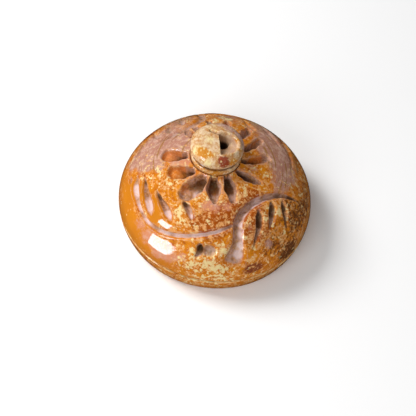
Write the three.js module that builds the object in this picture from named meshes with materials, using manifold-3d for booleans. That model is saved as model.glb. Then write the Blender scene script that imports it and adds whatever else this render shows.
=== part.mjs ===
// A carved stone sew-on button: a hollow carved dome with a pierced knob at its crown, closed
// underneath by a turned base plate whose recess holds a brass wire shank.
//
// Millimetres, +Z up. The origin is the middle of the flat ring that the button rests on.
// Azimuths are in degrees, measured from the front (-Y) towards +X.

import * as THREE from 'three';
import { mergeVertices } from 'three/addons/utils/BufferGeometryUtils.js';
import Module from 'manifold-3d';

const wasm = await Module();
wasm.setup();

// ---- driving dimensions ------------------------------------------------------------------

const GIRTH_RADIUS = 14; // widest radius of the button
const GIRTH_HEIGHT = 3.5; // the widest level, above the resting ring
const CROWN_RISE = 9.9; // from the widest level to the top of the plain dome
const UNDERCUT_DEPTH = 10.8; // semi-height of the ellipse that draws the sides in below the girth
const WALL = 2.6; // thickness of the dome's shell

const BAND_HEIGHT = 2.7; // visible edge of the base plate
const SPIGOT_HEIGHT = 1.5; // of the base plate's spigot above its edge
const CEMENT_THICKNESS = 0.2; // bonding layer between base plate and dome
const EDGE_BREAK = 0.2; // small chamfer on each side of the seam
const FIT_GAP = 0.08; // clearance round spigots, tenons and wires

const FLOWER_RADIUS = 7.4; // reach of the petals round the knob
const FLOWER_CENTRE = new THREE.Vector2(-0.8, 0.1); // hand-cut, so a little off the button's axis

const KNOB_RADIUS = 3.74;
const KNOB_HALF_HEIGHT = 1.7; // the knob is a flattened ball
const KNOB_CENTRE_Z = 15.1;
const CREASE_RADIUS = 3.0; // between the ball and the collar under it
const COLLAR_RADIUS = 3.52;
const COLLAR_HEIGHT = 0.9;
const COLLAR_ROUND = 0.1; // the collar is this much narrower at its foot and at the crease
const KNOB_FLAT_RADIUS = 1.6; // small flat on the knob's top
const SEAT_Z = 12.8; // flat seat cut in the crown for the knob
const SEAT_RADIUS = 3.6;
const TENON_RADIUS = 1.9;
const TENON_FOOT = 10.9;
// The hollow in the knob's top is half an oval with a straight wall.
const HOLLOW_FLOOR = 15.8;
const HOLLOW_REACH = 2.75; // from the straight wall to the oval's end
const HOLLOW_HALF_LENGTH = 1.9; // half the length of the straight wall
const HOLLOW_TURN = 11; // degrees
const HOLLOW_MIDDLE = new THREE.Vector2(0.25, -0.75); // middle of the straight wall, from the knob's axis
const THREAD_BORE = 0.75; // radius of the hole down through the knob
const THREAD_BORE_MIDDLE = new THREE.Vector2(0.7, 0.3); // from the knob's axis

const RECESS_RADIUS = 7.8; // pocket in the back of the base plate
const RECESS_DEPTH = 4.5;
const PLATE_THICKNESS = 1.2; // of the plate over the recess
const SHANK_BORE = 2.5; // radius of the hole in the middle of the plate

const WIRE_RADIUS = 0.5;
const LEG_SPACING = 1.5; // each wire leg's distance from the shank's middle
const EYE_HALF_WIDTH = 2.4;
const EYE_BOTTOM_Z = 0.9; // lowest point of the wire's middle line
const ROSETTE_RADIUS = 3.7;
const ROSETTE_THICKNESS = 0.5;
const WASHER_RADIUS = 4.2;
const WASHER_THICKNESS = 0.6;

const AXIS = new THREE.Vector2();
const COLUMNS = 108; // divisions of the carved dome round its axis
const OUTER_RINGS = 29; // rings of the carved outside, from the knob's seat to the girth
const KNOB_COLUMNS = 40;
const TURNED_COLUMNS = 60; // divisions of the plain turned pieces

// ---- the carving --------------------------------------------------------------------------

// Each cut is a trough along a path of [azimuth, plan radius, half width] points on the dome.
// This motif goes half way round; the other half repeats it, fainter.
const SCROLL_MOTIF = [
  { // long groove, from a wide start on the left round to the deep scroll
    depth: 0.5,
    path: [[-76, 11.7, 0.5], [-69, 12.1, 0.85], [-62, 12.3, 0.65], [-50, 12.6, 0.42], [-33, 12.5, 0.42],
      [-10, 11.3, 0.42], [16, 9.9, 0.3]],
  },
  { // deep scroll: a flared foot, a stem, then an arch that ends in a tail
    depth: 0.95,
    path: [[16, 13.4, 1.3], [18, 12.1, 0.75], [20, 9.8, 0.65], [27, 8.5, 0.65], [42, 7.9, 0.6],
      [58, 8.2, 0.6], [70, 9.5, 0.5], [76, 10.9, 0.35], [80, 12.3, 0.15]],
  },
  // three drops over the long groove
  { depth: 0.85, path: [[-73, 10.6, 0.2], [-61, 11.0, 0.6], [-51, 11.5, 0.85], [-46, 11.9, 0.5]] },
  { depth: 0.8, path: [[-55, 9.9, 0.2], [-45, 10.1, 0.55], [-36, 10.5, 0.78], [-31, 10.9, 0.5]] },
  { depth: 0.9, path: [[-29, 8.5, 0.3], [-22, 8.9, 0.5], [-16, 9.7, 0.2]] },
  // three leaf cuts under the deep scroll
  { depth: 0.95, path: [[42, 9.1, 0.3], [39, 10.0, 0.68], [35, 11.2, 0.5], [29, 12.6, 0.12]] },
  { depth: 0.9, path: [[58, 9.3, 0.3], [53, 10.1, 0.68], [45, 11.2, 0.15]] },
  { depth: 0.85, path: [[66, 10.3, 0.3], [62, 11.2, 0.58], [57, 12.6, 0.12]] },
  // drilled eye with its bowl, and a small dimple
  { depth: 1.1, path: [[-5, 12.3, 0.6], [-5, 12.8, 0.6]] },
  { depth: 0.5, path: [[-1, 12.3, 0.8], [3.5, 12.1, 0.65]] },
  { depth: 0.6, path: [[-79, 12.5, 0.4], [-78, 12.5, 0.4]] },
];
// Where each copy starts, its share of the depth, and the plan radius where it is half worn away.
const MOTIFS = [[0, 1, 99], [180, 0.45, 12]];
const WORN_STRETCH = 1.5; // a copy wears away over this much radius
const SIDE_SPREAD = 1.5; // a trough's sides run out to this many half widths

// Gouges between the petals, round the flower's centre: [azimuth at the inner end and at the outer
// end, inner reach, outer reach, half widths at the inner end, the middle and the outer end].
const GOUGE_DEPTH = 1.1;
const GOUGES = [
  [-84, -88, 4.6, 6.6, 0.8, 1.15, 1.2], [-45, -60, 4.4, 6.2, 0.75, 1.1, 1.12],
  [-18, -27, 4.4, 7.0, 0.8, 1.35, 1.3], [3, 6, 3.9, 7.2, 0.6, 1.1, 0.35],
  [30, 27, 3.9, 7.1, 0.5, 0.92, 0.55], [57, 66, 3.9, 7.1, 0.45, 0.8, 0.4],
  [87, 103, 3.9, 7.3, 0.45, 0.7, 0.7], [117, 129, 4.3, 7.5, 0.45, 0.6, 0.6],
  [145, 148, 5.6, 7.8, 0.6, 0.72, 0.6], [172, 173, 4.5, 7.6, 0.5, 0.7, 0.6],
  [-170, -167, 4.5, 7.4, 0.45, 0.6, 0.5], [-148, -148, 4.6, 7.2, 0.5, 0.65, 0.5],
  [-133, -137, 4.8, 7.0, 0.55, 0.7, 0.55],
];

const degrees = THREE.MathUtils.degToRad;
const { lerp, smoothstep } = THREE.MathUtils;

function domeHeight(x, y) {
  const share = (x * x + y * y) / GIRTH_RADIUS ** 2;
  return GIRTH_HEIGHT + CROWN_RISE * Math.sqrt(Math.max(0, 1 - share));
}

function onDome(azimuth, radius, centre = AXIS) {
  const x = centre.x + radius * Math.sin(degrees(azimuth));
  const y = centre.y - radius * Math.cos(degrees(azimuth));
  return new THREE.Vector3(x, y, domeHeight(x, y));
}

// Points close together along a cut, each with its half width and depth there.
function cutSamples(path, depth, turn, centre, wornFrom = Infinity) {
  const steps = 12 * (path.length - 1);
  const curve = new THREE.CatmullRomCurve3(path.map((p) => new THREE.Vector3(...p)), false, 'catmullrom');
  const samples = [];
  for (let i = 0; i <= steps; i++) {
    const [azimuth, radius, halfWidth] = curve.getPoint(i / steps).toArray();
    const worn = smoothstep(radius, wornFrom - WORN_STRETCH / 2, wornFrom + WORN_STRETCH / 2);
    samples.push({ middle: onDome(azimuth + turn, radius, centre), halfWidth, depth: depth * (1 - worn) });
  }
  return samples;
}

function allCuts() {
  const cuts = [];
  for (const [turn, share, wornFrom] of MOTIFS) {
    for (const { path, depth } of SCROLL_MOTIF) {
      cuts.push(...cutSamples(path, depth * share, turn, AXIS, wornFrom));
    }
  }
  for (const [innerAzimuth, outerAzimuth, inner, outer, ...halfWidths] of GOUGES) {
    const path = halfWidths.map((halfWidth, i) => [
      lerp(innerAzimuth, outerAzimuth, i / 2), lerp(inner, outer, i / 2), halfWidth,
    ]);
    cuts.push(...cutSamples(path, GOUGE_DEPTH, 0, FLOWER_CENTRE));
  }
  return cuts;
}

// How deep the carving goes at a point of the plain dome: the deepest trough there, with soft sides.
function carvedDepth(cuts, point) {
  let depth = 0;
  for (const cut of cuts) {
    const offset = point.distanceTo(cut.middle) / (cut.halfWidth * SIDE_SPREAD);
    if (offset < 1) depth = Math.max(depth, cut.depth * (1 - offset ** 2) ** 2);
  }
  return depth;
}

// ---- general solids -----------------------------------------------------------------------

// Turns a closed [radius, height] outline round Z. A lathe turns about Y, so it is stood up.
function turned(outline, columns = TURNED_COLUMNS) {
  const points = outline.map(([r, z]) => new THREE.Vector2(r, z));
  const geometry = new THREE.LatheGeometry(points, columns);
  geometry.rotateX(Math.PI / 2);
  return geometry;
}

function toManifold(geometry) {
  const bare = geometry.clone();
  bare.deleteAttribute('normal');
  bare.deleteAttribute('uv');
  const merged = mergeVertices(bare, 1e-4);
  return new wasm.Manifold(new wasm.Mesh({
    numProp: 3,
    vertProperties: Float32Array.from(merged.attributes.position.array),
    triVerts: Uint32Array.from(merged.index.array),
  }));
}

function fromManifold(solid) {
  const mesh = solid.getMesh();
  const geometry = new THREE.BufferGeometry();
  geometry.setAttribute('position', new THREE.BufferAttribute(mesh.vertProperties, 3));
  geometry.setIndex(new THREE.BufferAttribute(mesh.triVerts, 1));
  geometry.computeVertexNormals();
  return geometry;
}

// A round plate lying flat from height z up, with one hole for each wire leg.
function legPlate(radius, thickness, z) {
  const shape = new THREE.Shape().absarc(0, 0, radius, 0, 2 * Math.PI);
  for (const side of [-1, 1]) {
    const hole = new THREE.Path().absarc(side * LEG_SPACING, 0, WIRE_RADIUS + FIT_GAP, 0, 2 * Math.PI);
    shape.holes.push(hole);
  }
  const geometry = new THREE.ExtrudeGeometry(shape, {
    depth: thickness, bevelEnabled: false, curveSegments: 24,
  });
  geometry.translate(0, 0, z);
  return geometry;
}

// ---- the pieces -----------------------------------------------------------------------------

const SEAM_Z = BAND_HEIGHT + CEMENT_THICKNESS; // bottom face of the dome
const CAVITY_RADIUS = GIRTH_RADIUS - WALL;
const CAVITY_RISE = CROWN_RISE - WALL;
const MOUTH_RADIUS = 10.9; // the dome's opening, where the base plate's spigot goes in
const CAVITY_RINGS = [10.6, 9, 6.5, 4]; // radii of the rings on the cavity's roof
const CEILING_Z = RECESS_DEPTH + PLATE_THICKNESS;

// Radius of the sides below the girth, at height z.
function sideRadius(z) {
  return GIRTH_RADIUS * Math.sqrt(1 - ((GIRTH_HEIGHT - z) / UNDERCUT_DEPTH) ** 2);
}

// Height of the cavity's roof at a radius.
function cavityHeight(radius) {
  return GIRTH_HEIGHT + CAVITY_RISE * Math.sqrt(1 - (radius / CAVITY_RADIUS) ** 2);
}

// The rings near the crown are centred on the flower; further out they come back to the axis.
function ringCentre(radius) {
  const back = smoothstep(radius, FLOWER_RADIUS, GIRTH_RADIUS);
  return FLOWER_CENTRE.clone().multiplyScalar(1 - back);
}

// The dome is one closed grid: each row is a ring, going down the carved outside, across the
// bottom, up the inside and back up the knob's socket.
function domeRows() {
  const rows = [];
  for (let i = 0; i <= OUTER_RINGS; i++) {
    const share = Math.sin((i / OUTER_RINGS) * Math.PI / 2);
    const radius = lerp(SEAT_RADIUS, GIRTH_RADIUS, share);
    rows.push({ radius, centre: ringCentre(radius), onCrown: true, carved: i > 0 });
  }
  const sides = [[sideRadius(SEAM_Z + EDGE_BREAK), SEAM_Z + EDGE_BREAK],
    [sideRadius(SEAM_Z) - EDGE_BREAK, SEAM_Z], [MOUTH_RADIUS, SEAM_Z], [CAVITY_RADIUS, GIRTH_HEIGHT]];
  for (const [radius, z] of sides) rows.push({ radius, z, centre: AXIS });
  for (const radius of CAVITY_RINGS) rows.push({ radius, z: cavityHeight(radius), centre: AXIS });
  const socketRadius = TENON_RADIUS + FIT_GAP;
  const socket = [[socketRadius, cavityHeight(socketRadius)], [socketRadius, SEAT_Z], [SEAT_RADIUS, SEAT_Z]];
  for (const [radius, z] of socket) rows.push({ radius, z, centre: FLOWER_CENTRE });
  return rows;
}

function dome() {
  const cuts = allCuts();
  const rows = domeRows();
  const positions = [];
  for (const row of rows) {
    for (let column = 0; column < COLUMNS; column++) {
      const azimuth = (360 * column) / COLUMNS;
      const point = onDome(azimuth, row.radius, row.centre);
      if (!row.onCrown) point.z = row.z;
      if (row.carved) {
        const inward = new THREE.Vector3(
          -point.x / GIRTH_RADIUS ** 2,
          -point.y / GIRTH_RADIUS ** 2,
          -(point.z - GIRTH_HEIGHT) / CROWN_RISE ** 2,
        ).normalize();
        point.addScaledVector(inward, carvedDepth(cuts, point));
      }
      positions.push(...point.toArray());
    }
  }
  const index = [];
  for (let row = 0; row < rows.length; row++) {
    const next = (row + 1) % rows.length;
    for (let column = 0; column < COLUMNS; column++) {
      const beside = (column + 1) % COLUMNS;
      const [a, b] = [row * COLUMNS + column, row * COLUMNS + beside];
      const [c, d] = [next * COLUMNS + column, next * COLUMNS + beside];
      index.push(a, c, b, b, c, d);
    }
  }
  const geometry = new THREE.BufferGeometry();
  geometry.setAttribute('position', new THREE.Float32BufferAttribute(positions, 3));
  geometry.setIndex(index);
  geometry.computeVertexNormals();
  return geometry;
}

// The knob: a flattened ball over a collar, with a tenon into the crown. Its top is cut open on
// one side by the hollow, and the thread bore goes down from there.
function knob() {
  const ballFrom = -Math.acos(CREASE_RADIUS / KNOB_RADIUS); // where the ball leaves the crease
  const ballTo = Math.acos(KNOB_FLAT_RADIUS / KNOB_RADIUS);
  const outline = [
    [0, TENON_FOOT],
    [TENON_RADIUS, TENON_FOOT],
    [TENON_RADIUS, SEAT_Z],
    [COLLAR_RADIUS - COLLAR_ROUND, SEAT_Z],
    [COLLAR_RADIUS, SEAT_Z + COLLAR_HEIGHT / 3],
    [COLLAR_RADIUS - COLLAR_ROUND, SEAT_Z + COLLAR_HEIGHT],
  ];
  const steps = 12;
  for (let i = 0; i <= steps; i++) {
    const angle = lerp(ballFrom, ballTo, i / steps);
    outline.push([KNOB_RADIUS * Math.cos(angle), KNOB_CENTRE_Z + KNOB_HALF_HEIGHT * Math.sin(angle)]);
  }
  const top = KNOB_CENTRE_Z + KNOB_HALF_HEIGHT * Math.sin(ballTo);
  outline.push([0, top]);
  const body = toManifold(turned(outline, KNOB_COLUMNS));

  const halfOval = new THREE.Shape();
  halfOval.absellipse(0, 0, HOLLOW_REACH, HOLLOW_HALF_LENGTH, -Math.PI / 2, Math.PI / 2);
  halfOval.closePath();
  const clearOfTop = 1;
  const hollow = new THREE.ExtrudeGeometry(halfOval, {
    depth: top + clearOfTop - HOLLOW_FLOOR, bevelEnabled: false, curveSegments: 16,
  });
  hollow.rotateZ(degrees(HOLLOW_TURN));
  hollow.translate(HOLLOW_MIDDLE.x, HOLLOW_MIDDLE.y, HOLLOW_FLOOR);

  const boreLength = 2 * (HOLLOW_FLOOR + clearOfTop - SEAT_Z); // right through the knob and the tenon
  const bore = new THREE.CylinderGeometry(THREAD_BORE, THREAD_BORE, boreLength, 16);
  bore.rotateX(Math.PI / 2);
  bore.translate(THREAD_BORE_MIDDLE.x, THREAD_BORE_MIDDLE.y, SEAT_Z);

  const solid = body.subtract(toManifold(hollow)).subtract(toManifold(bore));
  const geometry = fromManifold(solid);
  geometry.translate(FLOWER_CENTRE.x, FLOWER_CENTRE.y, 0);
  return geometry;
}

// The thin bonding layer in the seam, set back a little from both edges.
function cement() {
  const setBack = EDGE_BREAK + 0.1;
  const outer = sideRadius(SEAM_Z) - setBack;
  const inner = MOUTH_RADIUS;
  return turned([
    [inner, BAND_HEIGHT], [outer, BAND_HEIGHT], [outer, SEAM_Z], [inner, SEAM_Z], [inner, BAND_HEIGHT],
  ]);
}

// The base plate: a resting ring, a spigot that centres it in the dome, and a raised middle over
// the recess for the shank.
function basePlate() {
  const spigotRadius = MOUTH_RADIUS - FIT_GAP;
  const spigotTop = BAND_HEIGHT + SPIGOT_HEIGHT;
  const footRound = 0.25;
  const shoulder = 0.6; // slant between the plate over the recess and the walls round it
  const edgeHeights = [footRound, BAND_HEIGHT / 2, BAND_HEIGHT - EDGE_BREAK];
  return turned([
    [SHANK_BORE, RECESS_DEPTH],
    [RECESS_RADIUS - shoulder, RECESS_DEPTH],
    [RECESS_RADIUS, RECESS_DEPTH - shoulder],
    [RECESS_RADIUS, footRound],
    [RECESS_RADIUS + footRound, 0],
    [sideRadius(0) - footRound, 0],
    ...edgeHeights.map((z) => [sideRadius(z), z]),
    [sideRadius(BAND_HEIGHT) - EDGE_BREAK, BAND_HEIGHT],
    [spigotRadius, BAND_HEIGHT],
    [spigotRadius, spigotTop],
    [RECESS_RADIUS + PLATE_THICKNESS, spigotTop],
    [RECESS_RADIUS + shoulder, CEILING_Z - shoulder],
    [RECESS_RADIUS, CEILING_Z],
    [SHANK_BORE, CEILING_Z],
    [SHANK_BORE, RECESS_DEPTH],
  ]);
}

// The wire: an eye below the plate, two legs up through it and ends clinched outwards.
function shankWire() {
  const clinchZ = CEILING_Z + WASHER_THICKNESS + WIRE_RADIUS + 0.05;
  const rightHalf = [
    [EYE_HALF_WIDTH * 0.62, EYE_BOTTOM_Z + 0.35],
    [EYE_HALF_WIDTH, EYE_BOTTOM_Z + 1.4],
    [EYE_HALF_WIDTH * 0.88, EYE_BOTTOM_Z + 2.2],
    [LEG_SPACING, RECESS_DEPTH - ROSETTE_THICKNESS - 0.1],
    [LEG_SPACING, RECESS_DEPTH + 0.4],
    [LEG_SPACING, CEILING_Z - 0.2],
    [LEG_SPACING, clinchZ - WIRE_RADIUS],
    [LEG_SPACING + 0.45, clinchZ],
    [LEG_SPACING + 1.9, clinchZ],
  ];
  const leftHalf = rightHalf.map(([x, z]) => [-x, z]).reverse();
  const route = [...leftHalf, [0, EYE_BOTTOM_Z], ...rightHalf].map(([x, z]) => new THREE.Vector3(x, 0, z));
  const curve = new THREE.CatmullRomCurve3(route, false, 'centripetal');
  const section = new THREE.Shape().absarc(0, 0, WIRE_RADIUS, 0, 2 * Math.PI);
  return new THREE.ExtrudeGeometry(section, {
    extrudePath: curve, steps: 60, bevelEnabled: false, curveSegments: 5,
  });
}

// ---- materials and assembly -----------------------------------------------------------------

const stone = new THREE.MeshStandardMaterial({ color: 0xc27a35, roughness: 0.25, metalness: 0 });
const paleStone = new THREE.MeshStandardMaterial({ color: 0xcf9a5e, roughness: 0.3, metalness: 0 });
const resin = new THREE.MeshStandardMaterial({ color: 0x5a3a22, roughness: 0.6, metalness: 0 });
const brass = new THREE.MeshStandardMaterial({ color: 0xb08d4a, roughness: 0.35, metalness: 1 });

const button = new THREE.Group();

function add(name, geometry, material) {
  const mesh = new THREE.Mesh(geometry, material);
  mesh.name = name;
  button.add(mesh);
}

add('carved_dome', dome(), stone);
add('centre_knob', knob(), paleStone);
add('seam_cement', cement(), resin);
add('base_plate', basePlate(), stone);
add('shank_rosette', legPlate(ROSETTE_RADIUS, ROSETTE_THICKNESS, RECESS_DEPTH - ROSETTE_THICKNESS), brass);
add('shank_wire_loop', shankWire(), brass);
add('inner_washer', legPlate(WASHER_RADIUS, WASHER_THICKNESS, CEILING_Z), brass);

export default button;
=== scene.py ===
"""Looks for the carved stone sew-on button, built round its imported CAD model.

The fine meshes repeat the CAD's design in millimetres and are scaled to metres when they are made.
Azimuths are in degrees from the front (-Y) towards +X.
"""
import math

import bpy
import numpy as np
from mathutils import Matrix, Vector


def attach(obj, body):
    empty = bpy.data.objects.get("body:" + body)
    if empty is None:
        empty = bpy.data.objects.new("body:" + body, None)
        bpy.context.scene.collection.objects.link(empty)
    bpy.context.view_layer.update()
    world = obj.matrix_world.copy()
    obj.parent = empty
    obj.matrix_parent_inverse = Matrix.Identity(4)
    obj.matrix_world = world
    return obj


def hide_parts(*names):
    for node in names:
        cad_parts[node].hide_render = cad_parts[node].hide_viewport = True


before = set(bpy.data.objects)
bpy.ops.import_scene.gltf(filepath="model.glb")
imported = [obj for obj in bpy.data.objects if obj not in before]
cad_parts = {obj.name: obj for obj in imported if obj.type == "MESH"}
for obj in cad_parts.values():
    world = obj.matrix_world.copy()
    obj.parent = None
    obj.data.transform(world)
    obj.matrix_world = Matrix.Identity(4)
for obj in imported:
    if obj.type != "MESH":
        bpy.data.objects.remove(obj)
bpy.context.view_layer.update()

MM = 0.001

# ---- the design, in millimetres ---------------------------------------------------------------

GIRTH_RADIUS = 14.0
GIRTH_HEIGHT = 3.5
CROWN_RISE = 9.9
UNDERCUT_DEPTH = 10.8
WALL = 2.6
BAND_HEIGHT = 2.7
SEAM_Z = 2.9
SPIGOT_TOP = 4.2
EDGE_BREAK = 0.2
FIT_GAP = 0.08
MOUTH_RADIUS = 10.9
FLOWER_RADIUS = 7.4
FLOWER_CENTRE = np.array([-0.8, 0.1])
KNOB_RADIUS = 3.74
KNOB_HALF_HEIGHT = 1.7
KNOB_CENTRE_Z = 15.1
CREASE_Z = 13.95
CREASE_RADIUS = 3.0
COLLAR_RADIUS = 3.52
THREAD_BORE = 0.75
THREAD_BORE_MIDDLE = (0.7, 0.3)
HOLLOW_MIDDLE = (0.25, -0.75)  # of the hollow in the knob's top, which has one straight wall
HOLLOW_TURN = 11
HOLLOW_REACH = 2.75
HOLLOW_HALF_LENGTH = 1.9
HOLLOW_LOWEST = 15.0
HOLLOW_RISE = 0.55  # rise of its floor for each mm away from the bore
SLIT_MIDDLE = (-0.7, 1.15)
SLIT_ENDS = (-1.5, 0.5)
SLIT_SLANT = 0.35
SLIT_HALF_WIDTH = 0.2
SLIT_DEPTH = 0.55
SEAT_Z = 12.8
SEAT_RADIUS = 3.6
TENON_RADIUS = 1.9
TENON_FOOT = 10.9
RECESS_RADIUS = 7.8
RECESS_DEPTH = 4.5
PLATE_THICKNESS = 1.2
SHANK_BORE = 2.5
WIRE_RADIUS = 0.5
LEG_SPACING = 1.5  # of each leg from the axis
EYE_HALF_WIDTH = 2.4
EYE_BOTTOM_Z = 0.9
ROSETTE_RADIUS = 3.7
ROSETTE_THICKNESS = 0.5
WASHER_RADIUS = 4.2
WASHER_THICKNESS = 0.6
DISC_DISH = 0.12
PETALS = 12
PETAL_CUT = 0.25  # how far the rosette's rim draws in between its petals
PETAL_HEIGHT = 0.1
UNEVENNESS = 0.05  # of the hand-finished stone
CEILING_Z = RECESS_DEPTH + PLATE_THICKNESS

# Each cut is a trough along a path of [azimuth, plan radius, half width, depth] points on the
# dome. The scroll motif goes half way round. A shallower copy of it, worn away towards the edge,
# lies on the other half.
SCROLL_MOTIF = [
    # long groove, with a wide start
    [[-77, 11.6, 0.45, 0.3], [-71, 12.0, 0.98, 0.6], [-65, 12.2, 0.92, 0.6], [-57, 12.5, 0.66, 0.55],
     [-46, 12.75, 0.6, 0.55], [-33, 12.5, 0.58, 0.55], [-20, 11.9, 0.56, 0.5], [-4, 11.0, 0.54, 0.5],
     [16, 9.9, 0.45, 0.5]],
    # deep scroll: flared foot, stem, arch and tail
    [[15.5, 13.4, 1.8, 0.2], [16.5, 13.1, 1.9, 0.75], [18.2, 12.5, 1.55, 0.95], [19.5, 11.7, 1.08, 1.0],
     [20.3, 10.8, 0.95, 1.05], [21.8, 9.7, 0.92, 1.05], [28, 8.6, 0.86, 1.05], [42, 7.95, 0.8, 1.0],
     [58, 8.3, 0.7, 0.9], [70, 9.5, 0.56, 0.75], [76, 10.9, 0.4, 0.55], [80, 12.4, 0.12, 0.2]],
    # three drops over the long groove
    [[-76, 10.5, 0.15, 0.2], [-67, 10.8, 0.45, 0.6], [-57, 11.2, 0.78, 0.8], [-50, 11.55, 0.86, 0.7],
     [-46, 11.9, 0.55, 0.3]],
    [[-56, 9.8, 0.15, 0.3], [-48, 10.05, 0.5, 0.75], [-40, 10.3, 0.75, 0.8], [-35, 10.6, 0.78, 0.6],
     [-30.5, 10.95, 0.5, 0.25]],
    [[-29, 8.5, 0.35, 0.7], [-24, 8.8, 0.6, 0.9], [-20, 9.2, 0.62, 0.7], [-15.5, 9.9, 0.35, 0.2]],
    # three leaf cuts under the deep scroll
    [[42.5, 9.1, 0.3, 0.7], [40.5, 9.8, 0.68, 1.0], [37.5, 10.7, 0.62, 0.9], [33, 11.7, 0.36, 0.6],
     [28.5, 12.7, 0.12, 0.2]],
    [[58, 9.2, 0.3, 0.7], [55, 9.8, 0.7, 1.0], [50, 10.6, 0.6, 0.8], [44.5, 11.5, 0.15, 0.2]],
    [[66.5, 10.2, 0.3, 0.7], [63.5, 10.9, 0.6, 0.9], [60, 11.7, 0.42, 0.7], [56, 12.8, 0.12, 0.2]],
    # drilled eye, its bowl, and a small dimple
    [[-5.2, 12.1, 0.4, 0.7], [-4.8, 12.4, 0.64, 1.4], [-4.6, 12.7, 0.64, 1.4], [-6, 13.0, 0.4, 0.6]],
    [[0.2, 12.45, 1.25, 0.75], [1.6, 12.45, 1.25, 0.75]],
    [[-79.5, 12.5, 0.42, 0.6], [-78, 12.5, 0.42, 0.6]],
]
# Where each copy starts, its share of the depth, and the plan radius beyond which it is worn away.
MOTIFS = [(0, 1.0, 99.0), (180, 0.45, 12.0)]
WORN_STRETCH = 1.5

# Wide worn hollows that the crisp cuts lie in, with the same points.
HOLLOWS = [
    [[-70, 12.7, 1.8, 0.1], [-50, 13.1, 2.6, 0.4], [-28, 13.0, 2.9, 0.48], [-10, 12.3, 2.2, 0.2]],
    [[8, 9.6, 1.0, 0.1], [24, 8.9, 1.6, 0.25], [45, 7.9, 1.5, 0.25], [64, 8.8, 1.2, 0.15]],
    [[-60, 8.6, 1.4, 0.1], [-30, 8.2, 1.3, 0.15], [-8, 8.4, 1.5, 0.2]],
]

# Gouges between the petals, round the flower's centre:
# [azimuth at the inner end and at the outer end, inner reach, outer reach,
#  half widths at the inner end, the middle and the outer end].
GOUGES = [
    [-84, -88, 4.6, 6.6, 0.8, 1.15, 1.2], [-45, -60, 4.4, 6.2, 0.75, 1.1, 1.12],
    [-18, -27, 4.4, 7.0, 0.8, 1.35, 1.3], [3, 6, 3.9, 7.2, 0.6, 1.1, 0.35],
    [30, 27, 3.9, 7.1, 0.5, 0.92, 0.55], [57, 66, 3.9, 7.1, 0.45, 0.8, 0.4],
    [87, 103, 3.9, 7.3, 0.45, 0.7, 0.7], [117, 129, 4.3, 7.5, 0.45, 0.6, 0.6],
    [145, 148, 5.6, 7.8, 0.6, 0.72, 0.6], [172, 173, 4.5, 7.6, 0.5, 0.7, 0.6],
    [-170, -167, 4.5, 7.4, 0.45, 0.6, 0.5], [-148, -148, 4.6, 7.2, 0.5, 0.65, 0.5],
    [-133, -137, 4.8, 7.0, 0.55, 0.7, 0.55],
]
GOUGE_DEPTHS = [1.8, 1.35, 0.8]
SCROLL_SLOPE = 0.95  # share of a scroll cut's half width that its sloping walls take
GOUGE_SLOPE = 0.42
HOLLOW_SLOPE = 1.0
SCROLL_EDGE = 0.13  # width of the painted highlight along each cut's edge
GOUGE_EDGE = 0.34
SEAM_HIGHLIGHT_WIDTH = 0.3  # width of the painted highlight along the seam's edges
GOUGE_RAGGEDNESS = 0.12  # how far the hand-cut outlines stray
SCROLL_RAGGEDNESS = 0.06

DOME_COLUMNS = 540
DOME_RINGS = 148
CAVITY_RINGS = (10.6, 9.0, 6.5)  # plan radii
KNOB_COLUMNS = 360
TURNED_COLUMNS = 240
WIRE_COLUMNS = 20
HOLE_COLUMNS = 48


def smooth(t):
    """0 to 1 smoothly as t goes from 0 to 1."""
    t = np.clip(t, 0, 1)
    return t * t * (3 - 2 * t)


def dome_height(x, y):
    """Height of the plain dome over a place in plan."""
    share = (x * x + y * y) / GIRTH_RADIUS**2
    return GIRTH_HEIGHT + CROWN_RISE * np.sqrt(np.clip(1 - share, 0, 1))


def on_dome(azimuth, radius, centre=(0.0, 0.0)):
    """Points on the plain dome, as an array whose last axis is x, y, z."""
    angle = np.radians(azimuth)
    x = centre[0] + radius * np.sin(angle)
    y = centre[1] - radius * np.cos(angle)
    return np.stack([x, y, dome_height(x, y)], -1)


def side_radius(z):
    """Outer radius of the undercut side, below the girth."""
    return GIRTH_RADIUS * math.sqrt(1 - ((GIRTH_HEIGHT - z) / UNDERCUT_DEPTH) ** 2)


def cavity_height(radius):
    """Height of the ceiling inside the hollow dome."""
    return GIRTH_HEIGHT + (CROWN_RISE - WALL) * math.sqrt(1 - (radius / (GIRTH_RADIUS - WALL)) ** 2)


def spline(points, steps=14):
    """Catmull-Rom points through the rows of points."""
    p = np.array(points, float)
    ends = np.vstack([2 * p[0] - p[1], p, 2 * p[-1] - p[-2]])
    t = np.linspace(0, 1, steps, endpoint=False)[:, None]
    parts = []
    for a, b, c, d in zip(ends, ends[1:], ends[2:], ends[3:]):
        parts.append(0.5 * (2 * b + (c - a) * t + (2 * a - 5 * b + 4 * c - d) * t**2
                            + (3 * b - a - 3 * c + d) * t**3))
    return np.vstack([*parts, p[-1:]])


def cut_depth(points, path, turn, centre, slope, edge_width):
    """Depth of one trough at each point, and how near each point is to the trough's edge, 0 to 1."""
    azimuth, radius, half_width, depth = spline(path).T
    middle = on_dome(azimuth + turn, radius, centre)
    result = np.zeros(len(points))
    edge = np.zeros(len(points))
    reach = np.linalg.norm(middle - middle.mean(0), axis=1).max() + 2 * half_width.max()
    near = np.flatnonzero(np.linalg.norm(points - middle.mean(0), axis=1) < reach)
    if len(near) == 0:
        return result, edge
    distance = np.linalg.norm(points[near, None] - middle[None], axis=2)
    closest = (distance / half_width).argmin(1)
    distance = distance[np.arange(len(near)), closest]
    half_width = half_width[closest]
    result[near] = depth[closest] * smooth((1 - distance / half_width) / slope)
    shallow = np.clip(depth[closest] / 0.5, 0, 1)
    edge[near] = shallow * np.exp(-((distance - half_width) / edge_width) ** 2)
    return result, edge


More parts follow.
